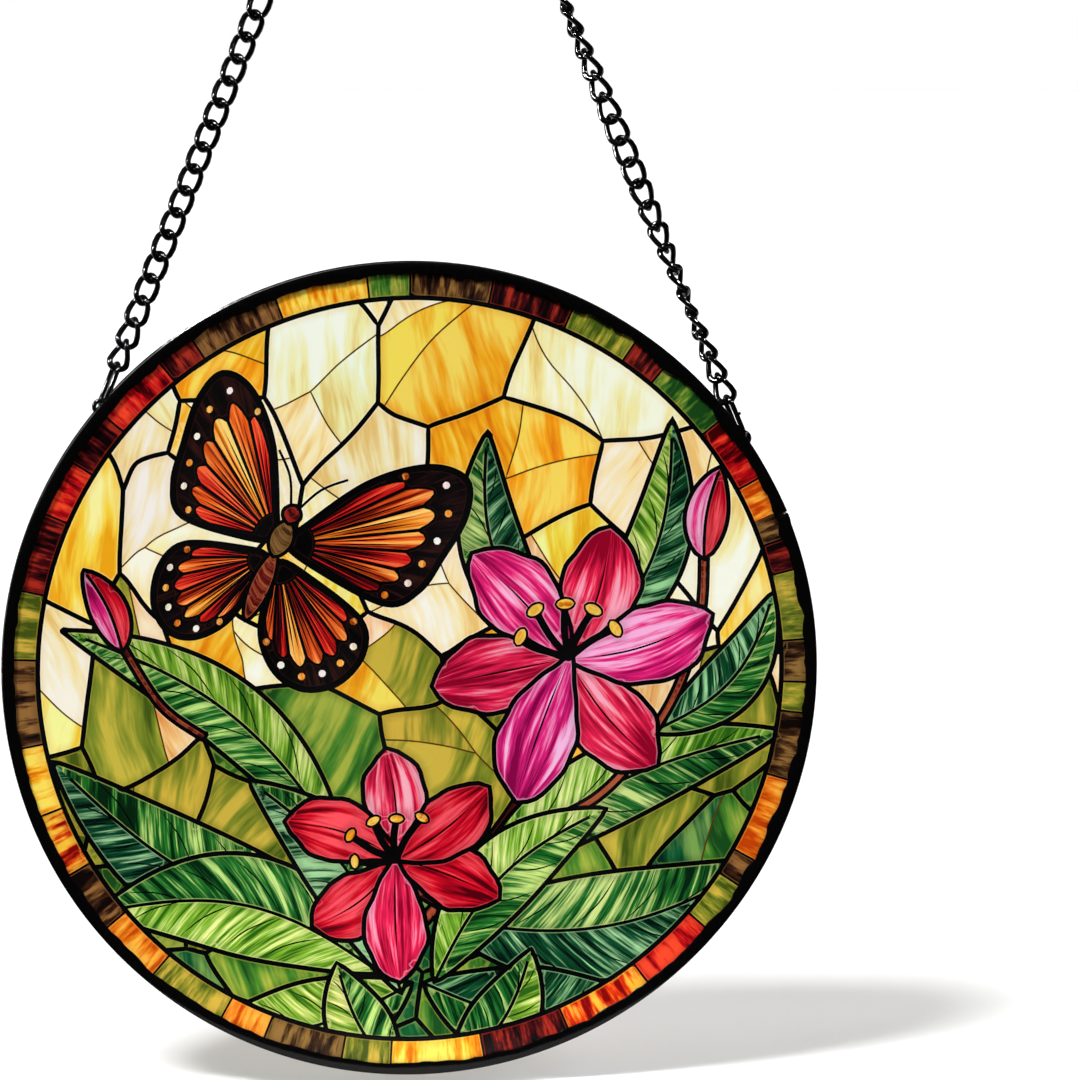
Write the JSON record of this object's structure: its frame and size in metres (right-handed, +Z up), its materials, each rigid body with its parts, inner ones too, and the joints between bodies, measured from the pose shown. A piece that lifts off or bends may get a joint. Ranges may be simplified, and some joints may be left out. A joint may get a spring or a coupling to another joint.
{
  "type": "acrylic suncatcher",
  "caption": "Round printed acrylic disc in a folded black metal strip, hung from two wire eyes by a twisted curb chain that rises to one top link over a hook.",
  "frame": {"origin": "where a hook bears, under the upper wire of the chain's top link, straight above the middle of the disc", "axes": "+X to the viewer's right, +Z up, and the printed face looks along -Y"},
  "size_m": [0.15, 0.0046, 0.2661],
  "materials": {
    "printed_acrylic": "clear acrylic with a translucent print in the manner of stained glass, on both faces",
    "frame_black": "black enamel, between satin and gloss",
    "chain_black": "glossy black lacquer on steel wire"
  },
  "bodies": {
    "root": {"acrylic_disc": "printed_acrylic", "frame_strip": "frame_black", "hanging_eye_left": "chain_black", "hanging_eye_right": "chain_black", "end_link_left": "chain_black", "end_link_right": "chain_black", "chain_left": "chain_black", "chain_right": "chain_black", "top_link": "chain_black"}
  },
  "joints": []
}
